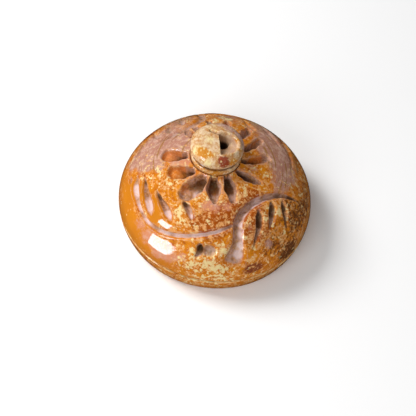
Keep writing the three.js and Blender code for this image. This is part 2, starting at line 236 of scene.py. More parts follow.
def wobble(points, size, amount, seed=0.0):
    """Slow, small unevenness of a hand-finished surface."""
    x, y, z = points.T / size + seed
    waves = np.sin(x * 2.1 + 1.3 * np.sin(y * 1.7)) + np.sin(y * 2.3 + 1.1 * np.sin(z * 1.9 + x))
    return amount * (waves + np.sin(z * 2.7 + 1.7 * np.sin(x * 1.3))) / 3


def strayed(points, amount):
    """The points moved sideways a little, so that outlines drawn with them come out uneven."""
    moved = points.copy()
    moved[:, 0] += wobble(points, 0.45, amount, 1.0)
    moved[:, 1] += wobble(points, 0.45, amount, 2.0)
    return moved


def motif_copies(paths):
    """The motif's paths once for each copy, with the copy's start; worn ends are shallower."""
    for turn, share, worn_from in MOTIFS:
        for path in paths:
            kept = [share * (1 - smooth((row[1] - worn_from) / WORN_STRETCH + 0.5)) for row in path]
            yield [[*row[:3], row[3] * k] for row, k in zip(path, kept)], turn


def carving(points):
    """Depth of the crisp cuts at each point, nearness to their edges, and depth of the hollows."""
    cuts = np.zeros(len(points))
    edges = np.zeros(len(points))
    hollows = np.zeros(len(points))
    axis = np.zeros(2)
    ragged = strayed(points, GOUGE_RAGGEDNESS)
    steady = strayed(points, SCROLL_RAGGEDNESS)
    crisp = [(steady, path, turn, axis, SCROLL_SLOPE, SCROLL_EDGE)
             for path, turn in motif_copies(SCROLL_MOTIF)]
    for inner_azimuth, outer_azimuth, inner, outer, *widths in GOUGES:
        azimuths = np.linspace(inner_azimuth, outer_azimuth, 3)
        reaches = np.linspace(inner, outer, 3)
        gouge = list(zip(azimuths, reaches, widths, GOUGE_DEPTHS))
        crisp.append((ragged, gouge, 0, FLOWER_CENTRE, GOUGE_SLOPE, GOUGE_EDGE))
    for trough in crisp:
        depth, edge = cut_depth(*trough)
        cuts = np.maximum(cuts, depth)
        edges = np.maximum(edges, edge)
    for path, turn in motif_copies(HOLLOWS):
        depth, _ = cut_depth(points, path, turn, axis, HOLLOW_SLOPE, SCROLL_EDGE)
        hollows = np.maximum(hollows, depth)
    edges *= 1 - smooth((cuts - 0.25) / 0.3)
    return cuts, edges, hollows


# ---- meshes -----------------------------------------------------------------------------------


def make_object(name, mesh, material, body="root"):
    piece = bpy.data.objects.new(name, mesh)
    bpy.context.scene.collection.objects.link(piece)
    mesh.materials.append(material)
    mesh.polygons.foreach_set("use_smooth", [True] * len(mesh.polygons))
    mesh.update()
    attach(piece, body)
    return piece


def ring_mesh(name, rings):
    """A closed mesh from rings of points in mm: rows x columns x 3, where the last row joins the first."""
    rows, columns, _ = rings.shape
    index = np.arange(rows * columns).reshape(rows, columns)
    below = np.roll(index, -1, 0)
    faces = np.stack([index, below, np.roll(below, -1, 1), np.roll(index, -1, 1)], -1).reshape(-1, 4)
    mesh = bpy.data.meshes.new(name)
    mesh.from_pydata((rings.reshape(-1, 3) * MM).tolist(), [], faces.tolist())
    return mesh


def capped_mesh(name, rings, bottom, top):
    """A closed mesh from rings that go up from the point bottom to the point top, all in mm."""
    rows, columns, _ = rings.shape
    index = np.arange(rows * columns).reshape(rows, columns)
    beside = np.roll(index, -1, 1)
    faces = np.stack([index[:-1], beside[:-1], beside[1:], index[1:]], -1).reshape(-1, 4).tolist()
    foot, peak = rows * columns, rows * columns + 1
    faces += [[foot, b, a] for a, b in zip(index[0], beside[0])]
    faces += [[peak, a, b] for a, b in zip(index[-1], beside[-1])]
    points = np.vstack([rings.reshape(-1, 3), bottom, top])
    mesh = bpy.data.meshes.new(name)
    mesh.from_pydata((points * MM).tolist(), [], [[int(i) for i in face] for face in faces])
    return mesh


def set_attribute(mesh, name, values):
    attribute = mesh.attributes.new(name, "FLOAT", "POINT")
    attribute.data.foreach_set("value", np.asarray(values, np.float32))


def angles(columns):
    """Azimuths of a ring's points."""
    return np.arange(columns) * 360.0 / columns


# Colour zones: blobs of [azimuth, plan radius, reach, strength] on the dome. The stone has more
# cream specks where it is pale and fewer where it is plain. Red, dark, maroon and amber are washes
# of colour. Pink is a mauve wash that also paints the floor's reflection on the left, towards the
# back; blush is a pink wash that paints the reflection round the window's highlight and tints the
# flower's ridges. Ochre tints the floors of the cuts; the pale floor zone paints them pale, partly
# their own colour and partly painted light where they face the key light; the recess shade zone
# paints shade at their shadowed ends and walls.
ZONES = {
    "pale": [[-72, 8.5, 0.8, 1.0], [-92, 12.7, 0.7, 0.8], [-87, 11.5, 0.6, 0.6], [-81, 10.1, 0.9, 0.5],
             [-29, 9.2, 0.8, 0.9], [-26, 10.2, 0.8, 0.9], [-52, 7.9, 1.2, 0.6], [-7, 13.3, 1.5, 0.6],
             [4, 13.4, 1.3, 0.8], [-2, 13.9, 3.5, 0.45], [11, 13.9, 1.8, 0.5], [11, 12.2, 1.0, 0.7],
             [4, 11.5, 1.2, 0.5],
             [29, 13.1, 0.9, 0.7], [-62, 13.6, 0.9, 0.5], [-178, 8.8, 0.9, 1.0], [-12, 10.6, 1.3, 0.4],
             [20, 10.9, 0.7, 0.3], [46, 10.0, 0.75, 1.0], [57.5, 10.5, 0.75, 1.0], [67, 11.2, 0.7, 0.7],
             [38, 11.9, 0.6, 0.7], [27, 11.4, 0.8, 0.5], [-167, 8.2, 0.8, 1.0],
             [78, 6.4, 0.6, 0.9], [26, 7.0, 0.6, 0.9], [40, 6.2, 0.9, 0.5], [-10, 7.3, 1.0, 0.4],
             [72, 5.0, 1.0, 0.4], [160, 12.5, 3.0, 0.4],
             [-150, 12.5, 2.5, 0.4], [100, 13.0, 1.5, 0.3]],
    "ochre": [[-88, 7.2, 2.0, 1.2], [-66, 6.8, 1.6, 1.2], [-40, 7.0, 1.4, 0.6], [-4, 5.5, 0.7, 0.6],
              [100, 5.0, 1.5, 1.0],
              [140, 6.5, 1.4, 0.6], [-135, 6.5, 1.5, 0.6], [175, 7.5, 1.8, 0.6]],
    # pale cut floors, partly their own colour and partly painted light where they face the key light
    "bare": [[-52, 11.6, 1.0, 1.2], [-35, 10.7, 0.8, 1.2], [-69, 12.1, 1.2, 1.0], [-57, 12.5, 1.0, 0.8],
             [-46, 12.7, 1.0, 0.9], [-32, 12.5, 1.2, 1.0], [-20, 11.9, 1.2, 1.0], [-8, 11.2, 1.2, 1.0],
             [5, 10.5, 1.2, 0.9], [-18, 9.5, 0.6, 0.8], [1, 12.45, 0.7, 0.5], [20, 12.9, 0.9, 0.9],
             [22, 12.0, 0.6, 0.9], [23, 11.0, 0.6, 0.9], [25, 10.0, 0.6, 0.9], [31, 9.1, 0.6, 0.9],
             [42, 8.5, 0.6, 0.9], [55, 8.8, 0.6, 0.8], [50, 7.9, 0.8, 0.8], [-22, 6.5, 0.9, 1.1]],
    # mauve wash, which also paints the floor's reflection on the left, towards the back
    "pink": [[-100, 10.4, 3.0, 0.95], [-109, 8.7, 2.6, 0.9], [-92, 7.6, 1.4, 0.9], [-117, 6.1, 2.0, 0.9],
             [-91, 12.2, 1.3, 0.8], [-84, 10.2, 1.4, 1.0], [-76, 8.5, 0.9, 0.7], [-92, 5.2, 1.2, 0.8],
             [-10, 5.0, 0.7, 0.6],
             [108, 8.8, 2.8, 0.95], [40, 12.6, 0.8, 0.8], [122, 7.7, 2.4, 0.95],
             [89, 9.3, 2.0, 0.85], [72, 8.9, 1.3, 0.6],
             [-140, 10.5, 3.0, 0.7], [145, 10.5, 3.0, 0.8],
             [180, 9.5, 2.5, 0.6]],
    "red": [[26, 8.0, 2.2, 1.0], [12, 8.6, 2.0, 0.9], [45, 7.4, 1.7, 1.0], [-1, 9.6, 2.2, 0.9],
            [-14, 10.1, 1.2, 0.5], [30, 11.2, 1.7, 0.9], [44, 11.0, 2.0, 0.8], [0, 11.0, 1.6, 0.4],
            [-35, 8.0, 1.3, 0.4], [-160, 11.0, 2.0, 0.5], [-122, 12.9, 2.0, 1.2],
            [-135, 13.0, 1.5, 0.7], [-38, 6.9, 0.7, 0.9]],
    "dark": [[60, 11.5, 3.0, 0.35], [72, 10.5, 2.0, 0.35], [52, 13.9, 1.6, 1.2],
             [58, 13.9, 1.2, 0.9], [42, 12.9, 2.2, 0.7],
             [66, 12.8, 2.4, 0.6], [82, 12.9, 2.2, 0.75], [97, 12.6, 2.0, 0.5],
             [130, 13.5, 3.0, 0.5], [-160, 13.6, 3.0, 0.4]],
    # pink wash: a painted reflection round the window's highlight, and a tint on the flower's ridges
    "blush": [[-50, 13.3, 1.1, 0.7], [-40, 13.5, 1.4, 1.0], [-30, 13.8, 1.2, 1.0], [-22, 13.7, 1.2, 1.0],
              [-14, 13.4, 1.0, 0.8], [3, 8.0, 0.8, 0.7],
              [-10, 7.9, 0.9, 0.8], [14, 7.6, 0.8, 0.9], [30, 10.3, 0.7, 0.6], [-14, 5.4, 0.8, 1.2],
              [6, 5.4, 0.8, 0.8], [-3, 7.3, 0.8, 0.9], [78, 4.6, 0.8, 0.8],
              [-75, 6.3, 1.0, 1.3], [-74, 5.0, 0.9, 1.3]],
    "maroon": [[26, 13.8, 1.3, 1.0], [32, 13.8, 1.1, 0.8]],
    # painted shade at the shadowed ends and walls of the cuts
    "recess_shade": [[41, 9.6, 0.8, 1.0], [38.5, 10.6, 0.6, 0.9], [55, 9.7, 0.8, 1.0], [52, 10.5, 0.5, 0.6],
             [64, 10.7, 0.8, 1.0], [-4.7, 12.5, 0.6, 1.2], [76, 10.9, 0.9, 0.9], [69, 9.3, 0.8, 0.6],
             [-69, 10.7, 0.7, 0.7], [-51, 9.95, 0.8, 0.8], [-28, 8.55, 0.6, 0.9]],
    "amber": [[-152, 8.2, 0.8, 1.0], [-171, 7.9, 0.6, 1.0], [-138, 7.8, 0.6, 0.9], [81, 6.0, 0.8, 0.8],
              [58, 5.3, 0.7, 0.7], [-57, 14.0, 1.4, 0.6]],
    "plain": [[-72, 12.6, 1.9, 1.0], [-62, 13.9, 2.4, 1.0], [-44, 13.8, 2.2, 1.0], [-27, 13.9, 1.9, 1.0],
              [-13, 14.0, 1.2, 0.7], [-63, 11.2, 1.3, 1.0], [-50, 10.8, 1.0, 0.9], [-42, 11.7, 1.2, 1.0],
              [-88, 13.7, 2.0, 0.8], [120, 8.0, 3.0, 0.6], [-110, 9.0, 2.5, 0.6]],
}


def blob_strength(points, blobs):
    """How strongly each point lies in a zone made of blobs of [x, y, z, reach, strength]."""
    total = np.zeros(len(points))
    for *middle, reach, strength in blobs:
        away = np.linalg.norm(points - np.array(middle), axis=1) / reach
        total += strength * np.exp(-away * away)
    return np.clip(total, 0, 1)


def add_zones(mesh, points):
    for name, blobs in ZONES.items():
        placed = [[*on_dome(azimuth, radius), reach, strength]
                  for azimuth, radius, reach, strength in blobs]
        set_attribute(mesh, name, blob_strength(points, placed))


def seam_highlight(rings):
    """Painted highlight along the visible edges of the seam, 0 to 1, for rings of points."""
    outer = np.hypot(rings[..., 0], rings[..., 1]) > MOUTH_RADIUS + 1
    from_seam = np.minimum(abs(rings[..., 2] - BAND_HEIGHT), abs(rings[..., 2] - SEAM_Z))
    return np.exp(-(from_seam / SEAM_HIGHLIGHT_WIDTH) ** 2) * outer


def dome_outside(azimuths):
    """Rings down the outside before and after carving, the cuts' depths, and nearness to the cuts' edges,
    where their highlight is painted.
    """
    share = np.sin(np.linspace(0, math.pi / 2, DOME_RINGS))
    radii = SEAT_RADIUS + (GIRTH_RADIUS - SEAT_RADIUS) * share
    back = smooth((radii - FLOWER_RADIUS) / (GIRTH_RADIUS - FLOWER_RADIUS))
    plain = np.array([on_dome(azimuths, r, FLOWER_CENTRE * (1 - b)) for r, b in zip(radii, back)])
    inward = -np.stack([plain[..., 0] / GIRTH_RADIUS**2, plain[..., 1] / GIRTH_RADIUS**2,
                        (plain[..., 2] - GIRTH_HEIGHT) / CROWN_RISE**2], -1)
    inward /= np.linalg.norm(inward, axis=2, keepdims=True)
    flat = plain.reshape(-1, 3)
    depth, edges, hollows = carving(flat)
    unevenness = UNEVENNESS + wobble(flat, 3.0, UNEVENNESS)
    fade = smooth((GIRTH_RADIUS - np.repeat(radii, DOME_COLUMNS)) / 1.5)
    carved = flat + inward.reshape(-1, 3) * (depth + hollows + unevenness * fade)[:, None]
    return plain, carved.reshape(plain.shape), depth, edges


def dome_inside(azimuths):
    """Rings down the side, across the bottom, up the cavity and up the knob's socket."""

    def level(radius, z, centre=(0.0, 0.0)):
        ring = on_dome(azimuths, radius, centre)
        ring[:, 2] = z
        return ring

    side_levels = np.linspace(GIRTH_HEIGHT, SEAM_Z + EDGE_BREAK, 5)[1:]
    rings = [level(side_radius(z), z) for z in side_levels]
    rings += [level(side_radius(SEAM_Z) - EDGE_BREAK * 0.35, SEAM_Z + EDGE_BREAK * 0.35),
              level(side_radius(SEAM_Z) - EDGE_BREAK, SEAM_Z), level(MOUTH_RADIUS, SEAM_Z),
              level(GIRTH_RADIUS - WALL, GIRTH_HEIGHT)]
    rings += [level(r, cavity_height(r)) for r in CAVITY_RINGS]
    socket = TENON_RADIUS + FIT_GAP
    rings += [level(r, z, FLOWER_CENTRE) for r, z in
              ((4, cavity_height(4)), (socket, cavity_height(socket)), (socket, SEAT_Z),
               (SEAT_RADIUS, SEAT_Z))]
    return np.array(rings)


def carved_dome(material):
    """The dome as closed rings: over the carved outside, and back through the inside."""
    azimuths = angles(DOME_COLUMNS)
    plain, outside, depth, edges = dome_outside(azimuths)
    inside = dome_inside(azimuths)
    rings = np.concatenate([outside, inside])
    mesh = ring_mesh("carved_stone_dome", rings)
    for name, values in (("carve", depth), ("edge", edges)):
        painted = np.zeros(rings.shape[:2])
        painted[:DOME_RINGS] = values.reshape(DOME_RINGS, DOME_COLUMNS)
        set_attribute(mesh, name, painted.ravel())
    set_attribute(mesh, "lip", seam_highlight(rings).ravel())
    from_flower = np.hypot(rings[..., 0] - FLOWER_CENTRE[0], rings[..., 1] - FLOWER_CENTRE[1])
    set_attribute(mesh, "streak", from_flower.ravel())
    add_zones(mesh, np.concatenate([plain, inside]).reshape(-1, 3))
    piece = make_object("carved_stone_dome", mesh, material)
    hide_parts("carved_dome")


def knob_hollow(x, y, z):
    """Height of the knob's surface once its hollow, slit and thread bore are cut, and their depth."""
    turn = math.radians(HOLLOW_TURN)
    right, back = x - HOLLOW_MIDDLE[0], y - HOLLOW_MIDDLE[1]
    along = right * math.cos(turn) + back * math.sin(turn)
    across = back * math.cos(turn) - right * math.sin(turn)
    oval = np.hypot(along / HOLLOW_REACH, across / HOLLOW_HALF_LENGTH)
    inside = smooth((1 - oval) / 0.16) * smooth(along / 0.16)
    lip = np.exp(-((oval - 1.08) / 0.09) ** 2) * smooth((along + 0.2) / 0.5)
    from_bore = np.hypot(x - THREAD_BORE_MIDDLE[0], y - THREAD_BORE_MIDDLE[1])
    floor = HOLLOW_LOWEST + HOLLOW_RISE * np.maximum(from_bore - 0.5, 0)
    cut = z + 0.22 * lip
    cut = np.minimum(cut, cut + (floor - cut) * inside)
    from_slit = (y - SLIT_MIDDLE[1]) + SLIT_SLANT * (x - SLIT_MIDDLE[0])
    slit = np.exp(-(from_slit / SLIT_HALF_WIDTH) ** 2)
    slit = slit * smooth((x - SLIT_ENDS[0]) / 0.3) * smooth((SLIT_ENDS[1] - x) / 0.3)
    cut = cut - SLIT_DEPTH * slit
    bore = smooth((THREAD_BORE + 0.06 - from_bore) / 0.12) * smooth((along + 0.02) / 0.1)
    cut = cut * (1 - bore) + np.minimum(cut, SEAT_Z) * bore
    return cut, z - cut


KNOB_ZONES = {  # blobs of [x, y, z from the knob's middle, reach, strength]
    "pale": [[-1.2, -0.3, 1.6, 0.9, 0.7], [-2.0, -2.0, 0.9, 0.9, 0.5], [-0.8, -3.2, 0.3, 0.9, 0.9],
             [-2.7, -1.8, 0.5, 0.8, 0.8], [2.4, 0.6, 1.3, 0.8, 0.6], [-3.0, 1.5, 0.6, 1.2, 0.5]],
    "pink": [[2.6, 2.2, 0.6, 1.8, 1.0], [0.6, 3.2, 0.6, 1.6, 0.9], [3.5, 0.3, 0.0, 1.2, 0.8],
             [-3.4, 1.0, -0.4, 1.3, 0.6], [2.2, -1.4, 0.6, 0.8, 0.8]],
    "red": [[0.9, -3.0, 0.9, 0.85, 1.0], [1.5, -3.2, 0.3, 0.8, 0.8]],
    "amber": [[-2.2, -2.2, 1.0, 0.85, 1.0], [-1.3, -2.5, 1.1, 0.7, 1.0], [-0.5, -2.6, 1.0, 0.5, 0.8],
              [2.4, -2.6, 0.4, 0.8, 1.0], [0.4, -3.4, -1.7, 1.6, 0.9], [-2.4, -2.4, -1.7, 1.4, 0.7],
              [3.0, -0.9, 1.0, 0.6, 0.8],
              [2.6, 0.5, 1.2, 0.6, 0.9], [2.0, 1.5, 1.3, 0.5, 0.7], [0.5, 1.6, 1.6, 0.5, 0.6]],
}


def turned_rings(outline, columns):
    """Rings of points for an outline of (radius, z) points turned round an upright axis."""
    azimuths = np.radians(angles(columns))
    return np.array([[(r * math.sin(a), -r * math.cos(a), z) for a in azimuths] for r, z in outline])


def knob_outline():
    """The knob before its top is cut: tenon, collar and flattened ball, as (radius, z) points."""
    foot = COLLAR_RADIUS - 0.1
    outline = [(TENON_RADIUS, TENON_FOOT), (TENON_RADIUS, SEAT_Z)]
    outline += [(foot - 0.1, SEAT_Z), (foot, SEAT_Z + 0.06)]
    outline += [(foot - 0.12 + 0.22 * math.cos(a), SEAT_Z + 0.55 + 0.45 * math.sin(a))
                for a in np.linspace(-1.1, 1.3, 10)]
    fullness = 2.4  # a little squarer in section than an ellipse

    def ball_height(radius, sign):
        rise = (1 - (radius / KNOB_RADIUS) ** fullness) ** (1 / fullness)
        return KNOB_CENTRE_Z + sign * KNOB_HALF_HEIGHT * rise

    ball = np.linspace(-math.acos(CREASE_RADIUS / KNOB_RADIUS), 1.15, 40)
    ball_radii = [KNOB_RADIUS * math.cos(a) for a in ball]
    outline += [(r, ball_height(r, math.copysign(1, a))) for r, a in zip(ball_radii, ball)]
    outline += [(r, ball_height(r, 1)) for r in np.linspace(ball_radii[-1], 0.04, 84)[1:]]
    return outline


def centre_knob(material):
    """A flattened ball over a collar, with the hollow cut into its top."""
    outline = knob_outline()
    rings = turned_rings(outline, KNOB_COLUMNS)
    x, y, z = rings.reshape(-1, 3).T
    cut, depth = knob_hollow(x, y, z)
    upper = z > KNOB_CENTRE_Z + 0.4
    z = np.where(upper, cut, z)
    rings = np.stack([x, y, z], -1)
    middle = np.array([0.0, 0.0, KNOB_CENTRE_Z])
    outward = rings - middle
    outward /= np.linalg.norm(outward, axis=1, keepdims=True)
    on_ball = smooth((rings[:, 2] - SEAT_Z - 0.6) / 0.8)
    rings += outward * ((wobble(rings, 1.6, UNEVENNESS, 3.0) - UNEVENNESS) * on_ball)[:, None]
    zones = {name: blob_strength(rings - middle, blobs) for name, blobs in KNOB_ZONES.items()}
    zones["carve"] = np.where(upper, depth, 0)
    # painted shade in the crease under the ball
    crease = np.exp(-((rings[:, 2] - CREASE_Z) / 0.22) ** 2)
    zones["crease"] = crease * (np.hypot(rings[:, 0], rings[:, 1]) > CREASE_RADIUS - 0.1)
    rings[:, :2] += FLOWER_CENTRE
    rings = rings.reshape(len(outline), KNOB_COLUMNS, 3)
    bottom = [[*FLOWER_CENTRE, TENON_FOOT]]
    top = [[*FLOWER_CENTRE, rings[-1, :, 2].mean()]]
    mesh = capped_mesh("pierced_stone_knob", rings, bottom, top)
    for name, values in zones.items():
        set_attribute(mesh, name, np.append(values, [0, values[-1]]))
    piece = make_object("pierced_stone_knob", mesh, material)
    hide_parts("centre_knob")


def turned(name, outline, material, node):
    """A closed outline of (radius, z) points in mm, turned round the button's axis."""
    rings = turned_rings(outline, TURNED_COLUMNS)
    mesh = ring_mesh(name, rings)
    set_attribute(mesh, "lip", seam_highlight(rings).ravel())
    for uncarved in ("carve", "edge", "streak"):
        set_attribute(mesh, uncarved, np.zeros(len(mesh.vertices)))
    add_zones(mesh, rings.reshape(-1, 3))
    piece = make_object(name, mesh, material)
    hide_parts(node)


def base_plate(material):
    """The turned back: resting ring, band, spigot, and the recess for the shank."""
    spigot = MOUTH_RADIUS - FIT_GAP
    foot = 0.25
    roof = 0.8
    bevel = 0.6
    edge = [(side_radius(z), z) for z in np.linspace(foot, BAND_HEIGHT - EDGE_BREAK, 14)]
    foot_arc = [(side_radius(foot) - foot + foot * math.sin(a), foot - foot * math.cos(a))
                for a in np.linspace(0, math.pi / 2, 6)[:-1]]
    rim_arc = [(side_radius(BAND_HEIGHT) - EDGE_BREAK + EDGE_BREAK * math.cos(a),
                BAND_HEIGHT - EDGE_BREAK + EDGE_BREAK * math.sin(a))
               for a in np.linspace(0.3, math.pi / 2, 5)]
    mouth_arc = [(RECESS_RADIUS + foot - foot * math.sin(a), foot - foot * math.cos(a))
                 for a in np.linspace(math.pi / 2, 0, 6)]
    roof_arc = [(RECESS_RADIUS - roof + roof * math.sin(a), RECESS_DEPTH - roof + roof * math.cos(a))
                for a in np.linspace(0, math.pi / 2, 9)]
    outline = [(SHANK_BORE, RECESS_DEPTH), (5.2, RECESS_DEPTH), *roof_arc, *mouth_arc, (10.4, 0), *foot_arc,
               *edge, *rim_arc, (spigot, BAND_HEIGHT), (spigot, SPIGOT_TOP),
               (RECESS_RADIUS + PLATE_THICKNESS, SPIGOT_TOP), (RECESS_RADIUS + bevel, CEILING_Z - bevel),
               (RECESS_RADIUS, CEILING_Z), (SHANK_BORE, CEILING_Z)]
    turned("turned_stone_base", outline[::-1], material, "base_plate")


def seam_cement(material):
    """The thin bonding layer, a little proud of the seam."""
    outer = side_radius(SEAM_Z) - EDGE_BREAK - 0.1
    bulge = [(outer + 0.05 * math.cos(a), (BAND_HEIGHT + SEAM_Z) / 2 + 0.1 * math.sin(a))
             for a in np.linspace(-math.pi / 2, math.pi / 2, 7)]
    outline = [(MOUTH_RADIUS, BAND_HEIGHT), *bulge, (MOUTH_RADIUS, SEAM_Z)]
    turned("seam_bonding_line", outline[::-1], material, "seam_cement")


def shank_wire(material):
    """The round wire: an eye below the plate, two legs up through it and ends clinched outwards."""
    clinch_z = CEILING_Z + WASHER_THICKNESS + WIRE_RADIUS + 0.05
    right = [(EYE_HALF_WIDTH * 0.62, EYE_BOTTOM_Z + 0.35), (EYE_HALF_WIDTH, EYE_BOTTOM_Z + 1.4),
             (EYE_HALF_WIDTH * 0.88, EYE_BOTTOM_Z + 2.2),
             (LEG_SPACING, RECESS_DEPTH - ROSETTE_THICKNESS - 0.1), (LEG_SPACING, RECESS_DEPTH + 0.4),
             (LEG_SPACING, CEILING_Z - 0.2), (LEG_SPACING, clinch_z - WIRE_RADIUS),
             (LEG_SPACING + 0.45, clinch_z), (LEG_SPACING + 1.9, clinch_z)]
    left = [(-x, z) for x, z in reversed(right)]
    route = spline([*left, (0, EYE_BOTTOM_Z), *right], steps=12)
    along = np.gradient(route, axis=0)
    along /= np.linalg.norm(along, axis=1, keepdims=True)
    turn = np.radians(angles(WIRE_COLUMNS))
    centre = np.stack([route[:, 0], np.zeros(len(route)), route[:, 1]], -1)[:, None]
    across = np.stack([-along[:, 1], np.zeros(len(route)), along[:, 0]], -1)[:, None]
    side = np.array([0.0, -1.0, 0.0])
    ring = np.cos(turn)[None, :, None] * across + np.sin(turn)[None, :, None] * side
    taper = np.ones(len(route))
    taper[[0, -1]] = 0.8
    rings = centre + WIRE_RADIUS * taper[:, None, None] * ring
    mesh = capped_mesh("shank_wire_eye", rings, [centre[0, 0]], [centre[-1, 0]])
    piece = make_object("shank_wire_eye", mesh, material)
    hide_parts("shank_wire_loop")


def pressed_disc(name, node, radius, bottom, thickness, material, petals):
    """A pressed brass disc with two holes for the wire; petals are pressed into its lower face."""
    turn = np.radians(angles(TURNED_COLUMNS))
    lobes = 0.5 + 0.5 * np.cos(petals * turn)
    petal_height = PETAL_HEIGHT if petals else 0
    outer = radius - PETAL_CUT * (1 - lobes)
    face = bottom + 0.02
    rings = []
    for share in np.linspace(0.08, 0.97, 26):
        bulge = lobes * math.sin(math.pi * min(1, max(0, (share - 0.55) / 0.42)))
        dish = DISC_DISH * smooth((share - 0.3) / 0.2) - petal_height * bulge
        rings.append((outer * share, face + dish))
    rings += [(outer, np.full_like(outer, bottom + thickness * share)) for share in (0.35, 0.7)]
    rings += [(outer * share, np.full_like(outer, bottom + thickness)) for share in (0.97, 0.5, 0.08)]
    points = np.array([np.stack([r * np.sin(turn), -r * np.cos(turn), z], -1) for r, z in rings])
    mesh = capped_mesh(name, points, [[0, 0, face]], [[0, 0, bottom + thickness]])
    piece = make_object(name, mesh, material)
    for side in (-1, 1):
        drill_round(piece, side * LEG_SPACING, WIRE_RADIUS + FIT_GAP, bottom - 1, bottom + thickness + 1)
    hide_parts(node)


def drill_round(piece, x, radius, bottom, top):
    """Cuts an upright round hole at (x, 0) through a piece, and leaves no modifier on it."""
    turn = np.radians(angles(HOLE_COLUMNS))
    circle = [np.stack([x + radius * np.sin(turn), -radius * np.cos(turn), np.full_like(turn, z)], -1)
              for z in (bottom, top)]
    drill_mesh = capped_mesh("drill", np.array(circle), [[x, 0, bottom]], [[x, 0, top]])
    drill = bpy.data.objects.new("drill", drill_mesh)
    bpy.context.scene.collection.objects.link(drill)
    cut = piece.modifiers.new("hole", "BOOLEAN")
    cut.operation = "DIFFERENCE"
    cut.solver = "EXACT"
    cut.object = drill
    bpy.context.view_layer.update()
    drilled = bpy.data.meshes.new_from_object(piece.evaluated_get(bpy.context.evaluated_depsgraph_get()))
    piece.modifiers.clear()
    piece.data = drilled
    bpy.data.objects.remove(drill)
    bpy.data.meshes.remove(drill_mesh)


# ---- materials --------------------------------------------------------------------------------


def paint(code):
    """A linear RGBA colour from an sRGB hex code."""
    channels = [int(code[i:i + 2], 16) / 255 for i in (0, 2, 4)]
    return (*[c / 12.92 if c <= 0.04045 else ((c + 0.055) / 1.055) ** 2.4 for c in channels], 1.0)


class Shader:
    """Short names for building one material's nodes."""

    def __init__(self, name):
        self.material = bpy.data.materials.new(name)
        self.material.use_nodes = True
        self.tree = self.material.node_tree
        self.bsdf = self.tree.nodes["Principled BSDF"]
        coordinates = self.tree.nodes.new("ShaderNodeTexCoord")
        scale = self.tree.nodes.new("ShaderNodeVectorMath")
        scale.operation = "SCALE"
        scale.inputs["Scale"].default_value = 1 / MM
        self.tree.links.new(coordinates.outputs["Object"], scale.inputs[0])
        self.position = scale.outputs[0]

    def put(self, socket, value):
        if isinstance(value, bpy.types.NodeSocket):
            self.tree.links.new(value, socket)
        else:
            socket.default_value = value

    def noise(self, size, detail=4.0, roughness=0.55, distortion=0.0, offset=0.0, stretched_by=None):
        """Noise with blobs about size mm across, or bands of a distance when stretched_by is given."""
        node = self.tree.nodes.new("ShaderNodeTexNoise")
        node.noise_dimensions = "4D"
        if stretched_by is None:
            self.put(node.inputs["Vector"], self.position)
        else:
            slow = self.tree.nodes.new("ShaderNodeVectorMath")
            slow.operation = "SCALE"
            slow.inputs["Scale"].default_value = 0.12
            self.tree.links.new(self.position, slow.inputs[0])
            place = self.tree.nodes.new("ShaderNodeVectorMath")
            place.operation = "ADD"
            self.tree.links.new(slow.outputs[0], place.inputs[0])
            self.tree.links.new(stretched_by, place.inputs[1])
            self.tree.links.new(place.outputs[0], node.inputs["Vector"])
        for key, value in (("W", offset), ("Scale", 1 / size), ("Detail", detail),
                           ("Roughness", roughness), ("Distortion", distortion)):
            node.inputs[key].default_value = value
        return node.outputs[0]

    def rough(self, value, size, amount, offset):
        """A zone's strength with its border broken up by noise."""
        uneven = self.math("SUBTRACT", self.noise(size, 5, 0.68, 0.3, offset), 0.5)
        return self.math("ADD", value, self.math("MULTIPLY", uneven, amount))

    def attribute(self, name):
        node = self.tree.nodes.new("ShaderNodeAttribute")
        node.attribute_name = name
        return node.outputs["Fac"]

    def math(self, operation, a, b=0.0):
        node = self.tree.nodes.new("ShaderNodeMath")
        node.operation = operation
        self.put(node.inputs[0], a)
        self.put(node.inputs[1], b)
        return node.outputs[0]

    def step(self, value, low, high, to_low=0.0, to_high=1.0):
        """value mapped smoothly from low..high to to_low..to_high."""
        node = self.tree.nodes.new("ShaderNodeMapRange")
        node.interpolation_type = "SMOOTHSTEP"
        for socket, number in zip(node.inputs, (value, low, high, to_low, to_high)):
            self.put(socket, number)
        return node.outputs[0]

    def mix(self, factor, a, b):
        node = self.tree.nodes.new("ShaderNodeMix")
        node.data_type = "RGBA"
        self.put(node.inputs[0], factor)
        self.put(node.inputs[6], a)
        self.put(node.inputs[7], b)
        return node.outputs[2]

    def bump(self, height, distance, strength=1.0):
        node = self.tree.nodes.new("ShaderNodeBump")
        node.inputs["Strength"].default_value = strength
        node.inputs["Distance"].default_value = distance * MM
        self.put(node.inputs["Height"], height)
        self.tree.links.new(node.outputs[0], self.bsdf.inputs["Normal"])

    def set(self, **values):
        for key, value in values.items():
            self.put(self.bsdf.inputs[key.replace("_", " ")], value)


AMBER = paint("D6820E")
DEEP_AMBER = paint("C2740E")
ORANGE = paint("BC6214")
RUST = paint("98420C")
PEACH = paint("E0A264")
MAUVE = paint("B08072")
PALE_MAUVE = paint("CDA898")
BLUSH = paint("CC8668")
CREAM = paint("EBD79C")
MAROON = paint("6C2A22")
BROWN = paint("5A2E12")
OLIVE = paint("8A6420")
CUT_GREY = paint("C0A096")
CUT_BROWN = paint("8E6648")
CUT_OCHRE = paint("CC721C")
CUT_PALE = paint("E0CBCB")
# colour of the painted shade in the cuts and in the knob's hollow
CUT_SHADE = paint("3E2614")


